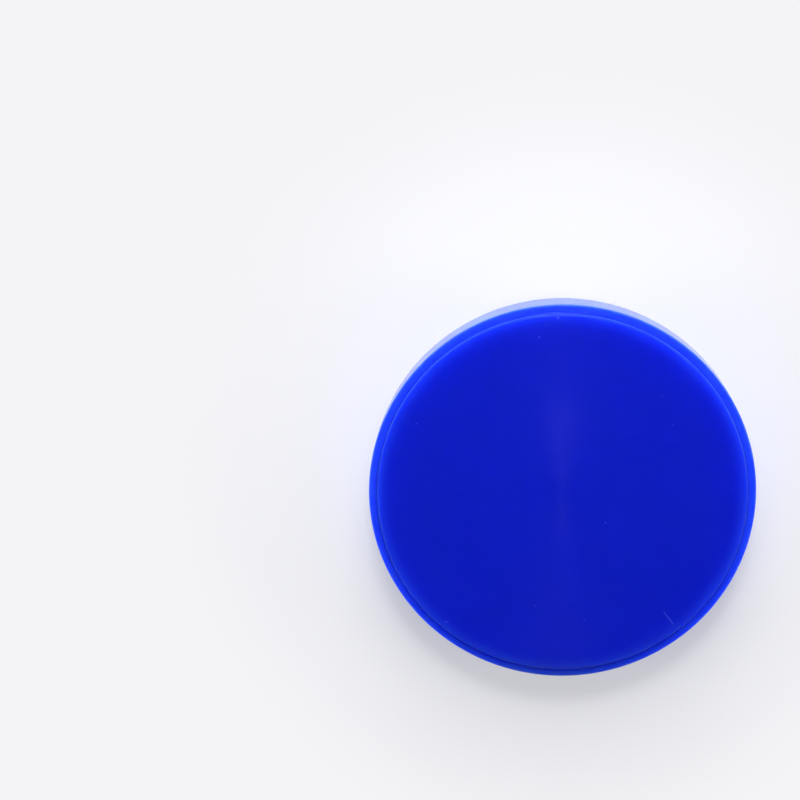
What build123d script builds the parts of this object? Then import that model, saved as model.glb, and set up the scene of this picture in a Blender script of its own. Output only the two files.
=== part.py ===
import os
from math import isclose

from build123d import *

os.makedirs("parts", exist_ok=True)

# A wax disc turned in one piece, which a dental mill cuts crowns and bridges from.
# It lies on its rear face: Z = 0 is that face, and Z runs up the disc's axis.

# Rim, in millimetres: the holder of the mill closes round it and clamps its two shoulders
outer_diameter = 98.5
rim_thickness = 10.0
shoulder_width = 2.25
rim_edge_radius = 0.5

# Round bosses, in millimetres: the faces that stand a little proud of the shoulders
front_boss_height = 1.0
rear_boss_height = 1.0
boss_edge_radius = 0.45
boss_root_bevel = 0.2

# A broken edge takes no more than this share of a wall beside it
largest_share = 0.45

outer_radius = outer_diameter / 2
boss_radius = outer_radius - shoulder_width
rim_bottom = rear_boss_height
rim_top = rim_bottom + rim_thickness
disc_top = rim_top + front_boss_height


def edge_break(wanted, *walls):
    """The size of a rounding or bevel, held inside the walls beside its edge."""
    return min(wanted, *(wall * largest_share for wall in walls))


def ring_edges(part, radius, height):
    """The circular edge of this radius at this height."""
    circles = part.edges().filter_by(GeomType.CIRCLE)
    at_height = circles.filter_by(lambda edge: isclose(edge.arc_center.Z, height, abs_tol=1e-6))
    return at_height.filter_by(lambda edge: isclose(edge.radius, radius, abs_tol=1e-6))


with BuildPart() as milling_disc:
    # Half of the turned section, from the axis out to the rim and back
    with BuildSketch(Plane.XZ):
        with BuildLine():
            Polyline(
                (0, 0),
                (boss_radius, 0),
                (boss_radius, rim_bottom),
                (outer_radius, rim_bottom),
                (outer_radius, rim_top),
                (boss_radius, rim_top),
                (boss_radius, disc_top),
                (0, disc_top),
                close=True,
            )
        make_face()
    revolve(axis=Axis.Z)

    # The rear and the front side are alike: a round boss edge, a bevelled root, a round rim edge
    sides = (
        (0, rim_bottom, rear_boss_height),
        (disc_top, rim_top, front_boss_height),
    )
    for face_height, shoulder_height, boss_height in sides:
        fillet(
            ring_edges(milling_disc, boss_radius, face_height),
            radius=edge_break(boss_edge_radius, boss_height),
        )
        chamfer(
            ring_edges(milling_disc, boss_radius, shoulder_height),
            length=edge_break(boss_root_bevel, boss_height, shoulder_width),
        )
        fillet(
            ring_edges(milling_disc, outer_radius, shoulder_height),
            radius=edge_break(rim_edge_radius, shoulder_width, rim_thickness),
        )

milling_disc.part.label = "milling_disc"
export_step(milling_disc.part, "parts/milling_disc.step")
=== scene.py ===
"""The dental milling disc: its turned wax body, its finish, and a plain studio to see it in."""

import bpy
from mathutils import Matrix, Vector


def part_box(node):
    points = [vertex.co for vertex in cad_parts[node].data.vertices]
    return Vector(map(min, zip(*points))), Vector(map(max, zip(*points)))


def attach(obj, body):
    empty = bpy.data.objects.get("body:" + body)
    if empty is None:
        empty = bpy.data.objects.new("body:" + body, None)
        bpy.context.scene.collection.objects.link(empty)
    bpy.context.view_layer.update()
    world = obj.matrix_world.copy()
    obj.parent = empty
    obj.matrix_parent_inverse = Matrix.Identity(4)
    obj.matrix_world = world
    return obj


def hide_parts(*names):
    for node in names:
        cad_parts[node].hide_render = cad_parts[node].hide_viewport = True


bl_info = {
    "name": "Dental Milling Disc",
    "version": (1, 0, 0),
    "blender": (4, 5, 0),
    "location": "View3D > Sidebar > Milling Disc",
    "description": "Builds a wax disc for dental milling and lights it in a plain studio",
    "category": "Add Mesh",
}

from math import tau

import bpy
from bpy.props import FloatProperty, FloatVectorProperty, IntProperty, PointerProperty
from mathutils import Matrix, Vector

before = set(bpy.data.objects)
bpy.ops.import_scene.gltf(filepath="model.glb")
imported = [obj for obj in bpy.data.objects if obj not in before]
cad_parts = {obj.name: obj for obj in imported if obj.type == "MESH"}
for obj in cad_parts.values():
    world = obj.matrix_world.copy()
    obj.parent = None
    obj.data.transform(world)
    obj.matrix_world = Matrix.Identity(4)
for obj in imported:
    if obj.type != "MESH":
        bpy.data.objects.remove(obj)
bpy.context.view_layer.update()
SOLID = "milling_disc"
BODY = "root"

SOLID_LOW, SOLID_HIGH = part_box(SOLID)
MILLIMETRE = 0.001
SCREEN_WHITE = 255


def length(name, description, default):
    """A size in metres that a user may change."""
    return FloatProperty(
        name=name, description=description, default=default, min=0.0, unit="LENGTH", precision=5
    )


def colour(name, description, default):
    """A colour, written as it shows on the screen and kept as light."""
    return FloatVectorProperty(
        name=name,
        description=description,
        default=[shown_to_light(channel / SCREEN_WHITE) for channel in default],
        size=3,
        min=0.0,
        max=1.0,
        subtype="COLOR",
    )


def share(name, description, default):
    """A number from 0 to 1."""
    return FloatProperty(
        name=name, description=description, default=default, min=0.0, max=1.0, subtype="FACTOR"
    )


def watts(name, description, default):
    """The power of a lamp."""
    return FloatProperty(name=name, description=description, default=default, min=0.0, unit="POWER")


def shown_to_light(channel):
    """The amount of light behind a screen value from 0 to 1, by the usual screen curve."""
    if channel <= 0.04045:
        return channel / 12.92
    return ((channel + 0.055) / 1.055) ** 2.4


class DiscSizes(bpy.types.PropertyGroup):
    """Sizes of the turned section, the same on the front and the rear."""

    outer_diameter: length("Outer diameter", "Across the clamping rim", SOLID_HIGH.x - SOLID_LOW.x)
    thickness: length("Thickness", "From the rear face to the front face", SOLID_HIGH.z - SOLID_LOW.z)
    rim_thickness: length("Rim thickness", "From one shoulder to the other", 10.0 * MILLIMETRE)
    shoulder_width: length("Shoulder width", "From the boss to the rim", 2.25 * MILLIMETRE)
    rim_edge: length("Rim edge radius", "Rounding of the rim's two edges", 0.5 * MILLIMETRE)
    boss_edge: length("Boss edge radius", "Rounding of the raised faces", 0.45 * MILLIMETRE)
    boss_root: length("Boss root radius", "Corner between boss and shoulder", 0.4 * MILLIMETRE)
    flat_hold: length("Flat hold", "Last flat ring before a face's rounded edge", 0.2 * MILLIMETRE)
    turns: IntProperty(name="Segments", description="Steps round the disc", default=240, min=24)
    arc_steps: IntProperty(name="Arc steps", description="Points on each rounding", default=9, min=2)
    span_cuts: IntProperty(name="Span cuts", description="Extra rings on each span", default=2, min=0)


class WaxFinish(bpy.types.PropertyGroup):
    """Colour, gloss and turning marks of the wax, and the painted glow at its edges."""

    face_colour: colour("Face", "Wax of the turned faces", (14, 30, 195))
    # Painted glow: this colour is blended in towards the rim and the edges, so the wax is lighter
    # there and stands in for light that gets into it; the scattering in the wax adds real glow on top
    edge_colour: colour("Edge", "Wax at the rim and the edges, where light gets in", (38, 76, 205))
    mark_colour: colour("Mark", "Wax that is scraped pale in a nick or scratch", (96, 110, 246))
    roughness: share("Roughness", "Roughness of the turned wax", 0.285)
    gloss: share("Gloss", "Strength of the surface reflection", 0.16)
    rim_skin: share("Rim skin", "Burnished skin of the rim's wall", 0.95)
    turned_sheen: share("Turned sheen", "How far the turning stretches a highlight", 0.85)
    scatter: share("Scatter", "Share of the light that goes on inside the wax", 1.0)
    red_reach: length("Red reach", "How far red light travels in the wax", 1.2 * MILLIMETRE)
    green_reach: length("Green reach", "How far green light travels in the wax", 1.8 * MILLIMETRE)
    blue_reach: length("Blue reach", "How far blue light travels in the wax", 14.0 * MILLIMETRE)
    groove_pitch: length("Groove pitch", "Step of the turning tool on each turn", 0.16 * MILLIMETRE)
    groove_depth: length("Groove depth", "Depth of the turning marks", 0.002 * MILLIMETRE)


class StudioLook(bpy.types.PropertyGroup):
    """Floor, lamps and surroundings."""

    floor_colour: colour("Floor", "Pale studio floor", (234, 234, 240))
    floor_white: share("Floor white", "Share of the backdrop in the floor by the disc", 0.5)
    backdrop_colour: colour("Backdrop", "What shows beyond the floor", (244, 244, 247))
    overhead_power: watts("Overhead lamp", "Lamp that the boss's edges mirror", 2.6)
    front_power: watts("Front lamp", "Lamp that draws a faint streak on the face", 0.25)
    far_power: watts("Far lamp", "High lamp on the far side", 2.0)
    low_power: watts("Low lamps", "Each low lamp, which makes the edges glow", 26.0)
    room_light: share("Room light", "Light from all round, most of it from the far side", 0.1)


# Numbers of a colour mix's sockets, which share their names with those for other kinds of value
MIX_FACTOR, MIX_FIRST, MIX_SECOND = 0, 6, 7
MIXED_COLOUR = 2


class Graph:
    """A node tree whose nodes come from one method, with sockets that take Python maths."""

    def __init__(self, tree):
        self.tree = tree

    def node(self, kind, settings=None, inputs=None):
        """Adds a node, sets its settings, then fills or links its inputs, named or numbered."""
        made = self.tree.nodes.new(kind)
        for name, value in (settings or {}).items():
            setattr(made, name, value)
        for key, value in (inputs or {}).items():
            self.feed(made.inputs[key], value)
        return made

    def feed(self, socket, value):
        """Links a wrapped socket to an input, or sets the input to a plain value."""
        if isinstance(value, Flow):
            self.tree.links.new(value.socket, socket)
        else:
            socket.default_value = value

    def out(self, made, key=0):
        """An output of a node, ready for maths."""
        return Flow(self, made.outputs[key])

    def maths(self, operation, *values):
        """One step of arithmetic on numbers."""
        settings = {"operation": operation}
        return self.out(self.node("ShaderNodeMath", settings, dict(enumerate(values))))

    def vectors(self, operation, *values):
        """One step of arithmetic on vectors."""
        settings = {"operation": operation}
        return self.out(self.node("ShaderNodeVectorMath", settings, dict(enumerate(values))))

    def vector_length(self, vector):
        """The length of a vector."""
        made = self.node("ShaderNodeVectorMath", {"operation": "LENGTH"}, {0: vector})
        return self.out(made, "Value")

    def dot(self, vector, direction):
        """The part of a vector along a fixed direction."""
        settings = {"operation": "DOT_PRODUCT"}
        made = self.node("ShaderNodeVectorMath", settings, {0: vector, 1: direction})
        return self.out(made, "Value")

    def blend(self, factor, first, second):
        """A colour between two colours."""
        inputs = {MIX_FACTOR: factor, MIX_FIRST: as_rgba(first), MIX_SECOND: as_rgba(second)}
        return self.out(self.node("ShaderNodeMix", {"data_type": "RGBA"}, inputs), MIXED_COLOUR)

    def fade(self, value, start, end):
        """0 up to start, 1 from end, and smooth between them."""
        made = self.node(
            "ShaderNodeMapRange",
            {"interpolation_type": "SMOOTHSTEP"},
            {"Value": value, "From Min": start, "From Max": end},
        )
        return self.out(made)

    def near(self, distance, start, end):
        """1 up to start, 0 from end, and smooth between them."""
        return 1 - self.fade(distance, start, end)


class Flow:
    """A socket's value, which adds Math nodes when it is used in an expression."""

    def __init__(self, graph, socket):
        self.graph = graph
        self.socket = socket

    def __add__(self, other):
        return self.graph.maths("ADD", self, other)

    def __sub__(self, other):
        return self.graph.maths("SUBTRACT", self, other)

    def __rsub__(self, other):
        return self.graph.maths("SUBTRACT", other, self)

    def __mul__(self, other):
        return self.graph.maths("MULTIPLY", self, other)

    def __truediv__(self, other):
        return self.graph.maths("DIVIDE", self, other)

    __radd__ = __add__
    __rmul__ = __mul__


def as_rgba(value):
    """A colour with its alpha, or a link as it is."""
    if isinstance(value, Flow):
        return value
    return (*value[:3], 1.0)


def new_material(name):
    """An empty material with an output node, and its graph."""
    material = bpy.data.materials.new(name)
    material.use_nodes = True
    material.node_tree.nodes.clear()
    return material, Graph(material.node_tree)


# Nicks, scratches and pits on the front face, in millimetres from the axis: the two ends of
# a scratch and half its width, or the middle of a pit and its radius
EDGE_NICK = ((-2.1, 46.25), (-1.5, 45.95), 0.22)
LONG_SCRATCH = ((26.8, -30.5), (29.6, -34.0), 0.11)
SCRATCHES = (EDGE_NICK, LONG_SCRATCH)
PITS = (
    ((-6.4, 41.1), 0.30),
    ((11.35, -6.9), 0.28),
    ((-29.1, -34.4), 0.34),
    ((-6.1, -29.6), 0.24),
    ((-37.0, 18.5), 0.24),
    ((27.5, 19.1), 0.22),
    ((24.7, 26.3), 0.18),
    ((6.6, -33.2), 0.2),
)

# Where a mark fades out, as shares of half its width, half its length or its radius
SCRATCH_SIDE_FADE = (0.4, 1.6)
SCRATCH_END_FADE = (0.8, 1.1)
PIT_FADE = (0.4, 1.0)


def near_size(graph, distance, size, fade):
    """1 within a mark's size, 0 away from it, with a fade in shares of that size."""
    start, end = fade
    return graph.near(distance, size * start, size * end)


def near_line(graph, place, start, end, half_width):
    """1 on a straight scratch, 0 away from it, in the plane of the face."""
    start, end = Vector((*start, 0.0)), Vector((*end, 0.0))
    along = (end - start).normalized()
    across = Vector((-along.y, along.x, 0.0))
    from_middle = graph.vectors("SUBTRACT", place, (start + end) / 2)
    side = graph.maths("ABSOLUTE", graph.dot(from_middle, across))
    reach = graph.maths("ABSOLUTE", graph.dot(from_middle, along))
    on_width = near_size(graph, side, half_width, SCRATCH_SIDE_FADE)
    on_length = near_size(graph, reach, (end - start).length / 2, SCRATCH_END_FADE)
    return on_width * on_length


def near_point(graph, place, centre, radius):
    """1 in a pit, 0 away from it, in the plane of the face."""
    distance = graph.vector_length(graph.vectors("SUBTRACT", place, Vector((*centre, 0.0))))
    return near_size(graph, distance, radius, PIT_FADE)


def scraped_marks(graph, flat_place):
    """1 on every scratch and in every pit, 0 elsewhere."""
    marks = [near_line(graph, flat_place, *scratch) for scratch in SCRATCHES]
    marks += [near_point(graph, flat_place, *pit) for pit in PITS]
    scraped, *others = marks
    for mark in others:
        scraped = graph.maths("MAXIMUM", scraped, mark)
    return scraped


# Where the wax changes, in millimetres: under the front face, inside the rim's wall, out from
# the boss's radius for the painted glow, either side of the boss's corner for the painted
# shade, and out from the rougher middle
FRONT_FADE = (0.2, 0.05)
RIM_WALL_FADE = (0.03, 0.008)
PAINTED_GLOW_FADE = (-5.0, 2.5)
CORNER_OFFSET = 0.1
PAINTED_SHADE_FADE = (0.1, 0.45)
ROUGH_MIDDLE = (1.0, 8.0, 0.0)
ROUGH_MIDDLE_FADE = (2.0, 24.0)

# Noise, as features to the millimetre and its detail
CLOUD_NOISE = (0.12, 3.0)
GRAIN_NOISE = (3.0, 2.0)
RING_NOISE = (1.7, 4.0)

# Brightness of the wax, what clouds and grain do to it, and the painted shade that darkens the boss's
# corner
PLAIN_VALUE = 0.9
CLOUD_VALUE = 0.14
GRAIN_VALUE = 0.06
PAINTED_CORNER_SHADE = 0.25

# How pale a mark is, and how much rougher the middle and the marks are
MARK_SHARE = 0.45
MIDDLE_ROUGHER = 0.34
MARK_ROUGHER = 0.25

# Height of the relief's parts, in groove depths
RIPPLE_HEIGHT = 0.35
RING_HEIGHT = 1.3
GRAIN_HEIGHT = 0.2
MARK_DEPTH = 8.0

WAX_IOR = 1.5
SKIN_IOR = 1.58
SKIN_ROUGHNESS = 0.2
# A quarter turn: the turning marks run round the disc, and spread light across themselves
ACROSS_THE_TURNING = 0.25


def space_noise(graph, place, noise):
    """Soft noise in space."""
    scale, detail = noise
    inputs = {"Vector": place, "Scale": scale, "Detail": detail}
    return graph.out(graph.node("ShaderNodeTexNoise", inputs=inputs))


def ring_noise(graph, from_axis):
    """Soft noise that is the same all round the disc."""
    scale, detail = RING_NOISE
    inputs = {"W": from_axis, "Scale": scale, "Detail": detail}
    return graph.out(graph.node("ShaderNodeTexNoise", {"noise_dimensions": "1D"}, inputs))


def faded_from(graph, value, base, fade):
    """A fade whose start and end are given from a base."""
    start, end = fade
    return graph.fade(value, base + start, base + end)


def wax_material(sizes, finish):
    """Milling wax: deep blue, slightly see-through at its edges, turned to a satin face, with a
    painted glow at its edges and painted shade in the boss's corner.
    """
    material, graph = new_material("turned_blue_wax")
    thickness = sizes.thickness / MILLIMETRE
    outer = sizes.outer_diameter / 2 / MILLIMETRE
    boss = outer - sizes.shoulder_width / MILLIMETRE

    coordinates = graph.out(graph.node("ShaderNodeTexCoord"), "Object")
    in_millimetres = graph.node(
        "ShaderNodeVectorMath", {"operation": "SCALE"}, {0: coordinates, "Scale": 1 / MILLIMETRE}
    )
    place = graph.out(in_millimetres)
    height = graph.out(graph.node("ShaderNodeSeparateXYZ", inputs={0: place}), "Z")
    flat_place = graph.vectors("MULTIPLY", place, (1.0, 1.0, 0.0))
    from_axis = graph.vector_length(flat_place)

    on_front = faded_from(graph, height, thickness, [-depth for depth in FRONT_FADE])
    on_rim_wall = faded_from(graph, from_axis, outer, [-depth for depth in RIM_WALL_FADE])
    scraped = scraped_marks(graph, flat_place) * on_front

    cloud = space_noise(graph, place, CLOUD_NOISE)
    grain = space_noise(graph, place, GRAIN_NOISE)
    # Painted glow: the wax's colour turns lighter towards the rim, on top of the glow that the
    # scattering makes
    glow = faded_from(graph, from_axis, boss, PAINTED_GLOW_FADE)
    base = graph.blend(glow * glow, finish.face_colour, finish.edge_colour)
    # Painted shade: the colour is darker in a ring round the boss's corner, where less light reaches
    from_corner = graph.maths("ABSOLUTE", from_axis - (boss + CORNER_OFFSET))
    painted_shade_ring = graph.near(from_corner, *PAINTED_SHADE_FADE)
    value = PLAIN_VALUE + CLOUD_VALUE * cloud + GRAIN_VALUE * grain - PAINTED_CORNER_SHADE * painted_shade_ring
    mottled_and_painted_shade = graph.node("ShaderNodeHueSaturation", inputs={"Value": value, "Color": base})
    coloured = graph.blend(scraped * MARK_SHARE, graph.out(mottled_and_painted_shade), finish.mark_colour)

    from_middle = graph.vector_length(graph.vectors("SUBTRACT", flat_place, ROUGH_MIDDLE))
    rough_middle = graph.near(from_middle, *ROUGH_MIDDLE_FADE)
    roughness = finish.roughness + MIDDLE_ROUGHER * rough_middle + MARK_ROUGHER * scraped

    ripple = graph.maths("SINE", from_axis / (finish.groove_pitch / MILLIMETRE) * tau)
    grooves = ripple * RIPPLE_HEIGHT + ring_noise(graph, from_axis) * RING_HEIGHT
    relief = grooves + grain * GRAIN_HEIGHT - scraped * MARK_DEPTH
    bump = graph.node(
        "ShaderNodeBump",
        inputs={"Strength": 1.0, "Distance": finish.groove_depth, "Height": relief},
    )

    principled = graph.node(
        "ShaderNodeBsdfPrincipled",
        {"subsurface_method": "RANDOM_WALK"},
        {
            "Base Color": coloured,
            "Roughness": roughness,
            "IOR": WAX_IOR,
            "Specular IOR Level": finish.gloss,
            "Coat Weight": finish.rim_skin * on_rim_wall,
            "Coat Roughness": SKIN_ROUGHNESS,
            "Coat IOR": SKIN_IOR,
            "Anisotropic": finish.turned_sheen,
            "Anisotropic Rotation": ACROSS_THE_TURNING,
            "Subsurface Weight": finish.scatter,
            "Subsurface Radius": (finish.red_reach, finish.green_reach, finish.blue_reach),
            "Subsurface Scale": 1.0,
            "Normal": graph.out(bump),
        },
    )
    graph.node("ShaderNodeOutputMaterial", inputs={"Surface": graph.out(principled)})
    return material


SECTION_INPUTS = (
    ("Outer Radius", "NodeSocketFloat"),
    ("Boss Radius", "NodeSocketFloat"),
    ("Thickness", "NodeSocketFloat"),
    ("Boss Height", "NodeSocketFloat"),
    ("Rim Edge Radius", "NodeSocketFloat"),
    ("Boss Edge Radius", "NodeSocketFloat"),
    ("Boss Root Radius", "NodeSocketFloat"),
    ("Flat Hold", "NodeSocketFloat"),
    ("Segments", "NodeSocketInt"),
    ("Arc Steps", "NodeSocketInt"),
    ("Span Cuts", "NodeSocketInt"),
)

# Points of the turned mesh that lie closer than this are one point
MERGE_DISTANCE = 0.001 * MILLIMETRE


def pick(graph, index, values):
    """The value that belongs to a point's number."""
    switch = graph.node("GeometryNodeIndexSwitch", {"data_type": "FLOAT"}, {"Index": index})
    while len(switch.index_switch_items) < len(values):
        switch.index_switch_items.new()
    for number, value in enumerate(values):
        graph.feed(switch.inputs[str(number)], value)
    return graph.out(switch)


def turned_disc_tree(material):
    """Geometry nodes that draw the disc's half section, round its corners and turn it about Z."""
    tree = bpy.data.node_groups.new("turned_disc", "GeometryNodeTree")
    for name, kind in SECTION_INPUTS:
        tree.interface.new_socket(name, in_out="INPUT", socket_type=kind)
    tree.interface.new_socket("Geometry", in_out="OUTPUT", socket_type="NodeSocketGeometry")
    graph = Graph(tree)
    given = graph.node("NodeGroupInput")
    size = {name: graph.out(given, name) for name, _ in SECTION_INPUTS}

    outer, boss = size["Outer Radius"], size["Boss Radius"]
    front, rear_shoulder = size["Thickness"], size["Boss Height"]
    front_shoulder = front - rear_shoulder
    edge, root, rim = size["Boss Edge Radius"], size["Boss Root Radius"], size["Rim Edge Radius"]
    # This ring holds the face flat up to its rounded edge
    flat = boss - edge - size["Flat Hold"]

    # Corners of the half section, from the front face's centre round the rim to the rear's:
    # each one's distance from the axis, height and rounding
    corners = (
        (0.0, front, 0.0),
        (flat, front, 0.0),
        (boss, front, edge),
        (boss, front_shoulder, root),
        (outer, front_shoulder, rim),
        (outer, rear_shoulder, rim),
        (boss, rear_shoulder, root),
        (boss, 0.0, edge),
        (flat, 0.0, 0.0),
        (0.0, 0.0, 0.0),
    )
    radii, heights, roundings = zip(*corners)

    index = graph.out(graph.node("GeometryNodeInputIndex"))
    points = graph.out(graph.node("GeometryNodeMeshLine", inputs={"Count": len(corners)}))
    line = graph.out(graph.node("GeometryNodeMeshToCurve", inputs={"Mesh": points}))
    # The turning circle of this radius carries the section, which lies back from it to the axis
    place = graph.node(
        "ShaderNodeCombineXYZ",
        inputs={"X": pick(graph, index, radii) - outer, "Y": 0 - pick(graph, index, heights)},
    )
    placed = graph.node(
        "GeometryNodeSetPosition", inputs={"Geometry": line, "Position": graph.out(place)}
    )
    rounded = graph.node(
        "GeometryNodeFilletCurve",
        {"mode": "POLY"},
        {
            "Curve": graph.out(placed),
            "Count": size["Arc Steps"],
            "Radius": pick(graph, index, roundings),
        },
    )
    section = graph.node(
        "GeometryNodeSubdivideCurve",
        inputs={"Curve": graph.out(rounded), "Cuts": size["Span Cuts"]},
    )
    circle = graph.node(
        "GeometryNodeCurvePrimitiveCircle",
        {"mode": "RADIUS"},
        {"Resolution": size["Segments"], "Radius": outer},
    )
    turned = graph.node(
        "GeometryNodeCurveToMesh",
        inputs={"Curve": graph.out(circle), "Profile Curve": graph.out(section)},
    )
    closed = graph.node(
        "GeometryNodeMergeByDistance",
        inputs={"Geometry": graph.out(turned), "Distance": MERGE_DISTANCE},
    )
    smooth = graph.node("GeometryNodeSetShadeSmooth", inputs={"Geometry": graph.out(closed)})
    real = graph.node("GeometryNodeRealizeInstances", inputs={"Geometry": graph.out(smooth)})
    finished = graph.node(
        "GeometryNodeSetMaterial", inputs={"Geometry": graph.out(real), "Material": material}
    )
    graph.node("NodeGroupOutput", inputs={"Geometry": graph.out(finished)})
    return tree


def built_by_tree(name, tree, inputs):
    """A plain mesh object of what a geometry node tree makes."""
    carrier = bpy.data.objects.new(name + "_nodes", bpy.data.meshes.new(name + "_nodes"))
    bpy.context.scene.collection.objects.link(carrier)
    modifier = carrier.modifiers.new("Turned disc", "NODES")
    modifier.node_group = tree
    for item in tree.interface.items_tree:
        if item.in_out == "INPUT":
            modifier[item.identifier] = inputs[item.name]
    evaluated = carrier.evaluated_get(bpy.context.evaluated_depsgraph_get())
    mesh = bpy.data.meshes.new_from_object(evaluated)
    mesh.name = name
    carrier.modifiers.remove(modifier)
    bpy.data.objects.remove(carrier)
    piece = bpy.data.objects.new(name, mesh)
    bpy.context.scene.collection.objects.link(piece)
    return piece


class MILLING_OT_wax_disc(bpy.types.Operator):
    """Turns the wax disc from its section and gives it its finish"""

    bl_idname = "milling.wax_disc"
    bl_label = "Wax Disc"

    def execute(self, context):
        sizes = context.scene.milling_sizes
        finish = context.scene.milling_finish
        material = wax_material(sizes, finish)
        inputs = {
            "Outer Radius": sizes.outer_diameter / 2,
            "Boss Radius": sizes.outer_diameter / 2 - sizes.shoulder_width,
            "Thickness": sizes.thickness,
            "Boss Height": (sizes.thickness - sizes.rim_thickness) / 2,
            "Rim Edge Radius": sizes.rim_edge,
            "Boss Edge Radius": sizes.boss_edge,
            "Boss Root Radius": sizes.boss_root,
            "Flat Hold": sizes.flat_hold,
            "Segments": sizes.turns,
            "Arc Steps": sizes.arc_steps,
            "Span Cuts": sizes.span_cuts,
        }
        disc = built_by_tree("wax_disc", turned_disc_tree(material), inputs)
        if not disc.data.polygons:
            raise RuntimeError("the turned section made no faces")
        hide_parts(SOLID)
        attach(disc, BODY)
        return {"FINISHED"}


# Where the photograph was taken from, in millimetres from the centre of the rear face
EYE = (-16.25, 128.35, 454.7)
LOOKS_AT = (-41.25, 24.25, 10.6)
FOCAL_LENGTH_PIXELS = 1802.5
PHOTO_WIDTH_PIXELS = 800.0
# The camera's sensor in millimetres, and the nearest thing it shows in metres
SENSOR_WIDTH = 36.0
NEAREST_SHOWN = 0.01


def in_metres(place):
    """A place that was given in millimetres."""
    return Vector(place) * MILLIMETRE


def facing(eye, target, up):
    """A turn that looks from one place at another, with its Y side towards up."""
    back = (eye - target).normalized()
    right = up.cross(back).normalized()
    return Matrix((right, back.cross(right), back)).transposed().to_4x4()


def add_camera(scene):
    """The camera at the photograph's viewing angle."""
    data = bpy.data.cameras.new("photo_camera")
    data.sensor_width = SENSOR_WIDTH
    data.lens = SENSOR_WIDTH * FOCAL_LENGTH_PIXELS / PHOTO_WIDTH_PIXELS
    data.clip_start = NEAREST_SHOWN
    camera = bpy.data.objects.new("photo_camera", data)
    eye = in_metres(EYE)
    turn = facing(eye, in_metres(LOOKS_AT), Vector((0, 1, 0)))
    camera.matrix_world = Matrix.Translation(eye) @ turn
    scene.collection.objects.link(camera)
    scene.camera = camera


# Each lamp's name, its place in millimetres, its width and height in metres, the value that
# holds its power, and whether the wax mirrors it. The low lamps light the rim's wall.
LAMPS = (
    ("overhead_lamp", (0, 640, 650), (0.2, 0.2), "overhead_power", True),
    ("front_lamp", (0, -760, 480), (0.2, 0.2), "front_power", True),
    ("far_lamp", (0, 380, 220), (0.35, 0.35), "far_power", False),
    ("left_lamp", (-1480, -150, 130), (0.65, 0.3), "low_power", False),
    ("right_lamp", (1480, -150, 130), (0.65, 0.3), "low_power", False),
    ("back_lamp", (0, 1330, 130), (0.65, 0.3), "low_power", False),
)
# Nearly upright, so that no lamp looks straight along it
LAMP_UP = (0.01, 0, 1)


def add_lamp(scene, name, place, size, power, mirrored):
    """A soft lamp of this width and height that faces the disc."""
    data = bpy.data.lights.new(name, "AREA")
    data.shape = "RECTANGLE"
    data.size, data.size_y = size
    data.energy = power
    lamp = bpy.data.objects.new(name, data)
    place = in_metres(place)
    lamp.matrix_world = Matrix.Translation(place) @ facing(place, Vector(), Vector(LAMP_UP))
    lamp.visible_glossy = mirrored
    scene.collection.objects.link(lamp)


# Half the floor's width, and where it turns into the backdrop, in metres from the axis
FLOOR_HALF_WIDTH = 4.0
FLOOR_FADE = (0.05, 0.11)


def floor_material(stage):
    """A pale floor that keeps the disc's shadow and turns into the backdrop further off."""
    material, graph = new_material("pale_floor")
    path = graph.node("ShaderNodeLightPath")
    seen = graph.out(path, "Is Camera Ray")
    for ray in ("Is Glossy Ray", "Is Transmission Ray"):
        seen = graph.maths("MAXIMUM", seen, graph.out(path, ray))
    from_disc = graph.vector_length(graph.out(graph.node("ShaderNodeTexCoord"), "Object"))
    far_off = graph.fade(from_disc, *FLOOR_FADE)
    white_share = stage.floor_white + (1 - stage.floor_white) * far_off
    lit = graph.node("ShaderNodeBsdfDiffuse", inputs={"Color": as_rgba(stage.floor_colour)})
    white = graph.node("ShaderNodeEmission", inputs={"Color": as_rgba(stage.backdrop_colour)})
    surface = graph.node(
        "ShaderNodeMixShader",
        inputs={0: seen * white_share, 1: graph.out(lit), 2: graph.out(white)},
    )
    graph.node("ShaderNodeOutputMaterial", inputs={"Surface": graph.out(surface)})
    return material


def add_floor(scene, stage):
    """A wide plain floor under the disc."""
    half = FLOOR_HALF_WIDTH
    mesh = bpy.data.meshes.new("studio_floor")
    corners = [(-half, -half, 0), (half, -half, 0), (half, half, 0), (-half, half, 0)]
    mesh.from_pydata(corners, [], [(0, 1, 2, 3)])
    floor = bpy.data.objects.new("studio_floor", mesh)
    floor.data.materials.append(floor_material(stage))
    scene.collection.objects.link(floor)


# Tint of the room's light, its share on the near side, what the far side adds to that, and
# where one turns into the other, from straight near to straight far
ROOM_TINT = (0.82, 0.87, 1.0)
NEAR_SIDE_LIGHT = 0.05
FAR_SIDE_LIGHT = 1.6
ROOM_FADE = (-0.9, 0.9)


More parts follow.
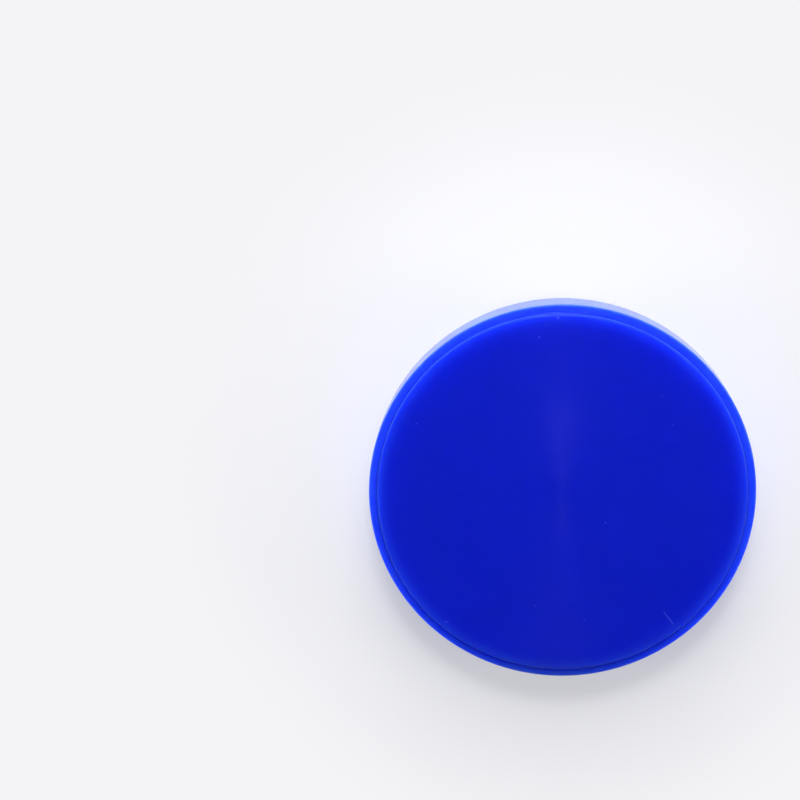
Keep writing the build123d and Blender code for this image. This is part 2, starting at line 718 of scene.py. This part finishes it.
def light_room(scene, stage):
    """Dim light, most from the far side, and the backdrop where the camera sees past the floor."""
    world = bpy.data.worlds.new("studio_room")
    world.use_nodes = True
    world.node_tree.nodes.clear()
    graph = Graph(world.node_tree)
    path = graph.node("ShaderNodeLightPath")
    direction = graph.out(graph.node("ShaderNodeTexCoord"), "Generated")
    parts = graph.node("ShaderNodeSeparateXYZ", inputs={0: direction})
    away = graph.fade(graph.out(parts, "Y"), *ROOM_FADE)
    strength = stage.room_light * (NEAR_SIDE_LIGHT + FAR_SIDE_LIGHT * away)
    room = graph.node(
        "ShaderNodeBackground", inputs={"Color": as_rgba(ROOM_TINT), "Strength": strength}
    )
    backdrop = graph.node(
        "ShaderNodeBackground", inputs={"Color": as_rgba(stage.backdrop_colour), "Strength": 1.0}
    )
    seen = graph.node(
        "ShaderNodeMixShader",
        inputs={0: graph.out(path, "Is Camera Ray"), 1: graph.out(room), 2: graph.out(backdrop)},
    )
    graph.node("ShaderNodeOutputWorld", inputs={"Surface": graph.out(seen)})
    scene.world = world


class MILLING_OT_studio(bpy.types.Operator):
    """Adds the pale floor, the soft lamps, the room light and the camera"""

    bl_idname = "milling.studio"
    bl_label = "Studio"

    def execute(self, context):
        scene = context.scene
        stage = scene.milling_studio
        add_floor(scene, stage)
        light_room(scene, stage)
        for name, place, size, power, mirrored in LAMPS:
            add_lamp(scene, name, place, size, getattr(stage, power), mirrored)
        add_camera(scene)
        scene.view_settings.view_transform = "Standard"
        return {"FINISHED"}


class MILLING_PT_panel(bpy.types.Panel):
    """Lists the disc's and the studio's steps and values"""

    bl_idname = "MILLING_PT_panel"
    bl_label = "Milling Disc"
    bl_space_type = "VIEW_3D"
    bl_region_type = "UI"
    bl_category = "Milling Disc"

    def draw(self, context):
        scene = context.scene
        for operator, values in (
            (MILLING_OT_wax_disc, (scene.milling_sizes, scene.milling_finish)),
            (MILLING_OT_studio, (scene.milling_studio,)),
        ):
            box = self.layout.box()
            box.operator(operator.bl_idname)
            for group in values:
                for name in type(group).__annotations__:
                    box.prop(group, name)


CLASSES = (
    DiscSizes,
    WaxFinish,
    StudioLook,
    MILLING_OT_wax_disc,
    MILLING_OT_studio,
    MILLING_PT_panel,
)
SCENE_VALUES = {
    "milling_sizes": DiscSizes,
    "milling_finish": WaxFinish,
    "milling_studio": StudioLook,
}


def register():
    for cls in CLASSES:
        bpy.utils.register_class(cls)
    for name, group in SCENE_VALUES.items():
        setattr(bpy.types.Scene, name, PointerProperty(type=group))


def unregister():
    for name in SCENE_VALUES:
        delattr(bpy.types.Scene, name)
    for cls in reversed(CLASSES):
        bpy.utils.unregister_class(cls)


def main():
    register()
    bpy.ops.milling.wax_disc()
    bpy.ops.milling.studio()


if __name__ == "__main__":
    main()
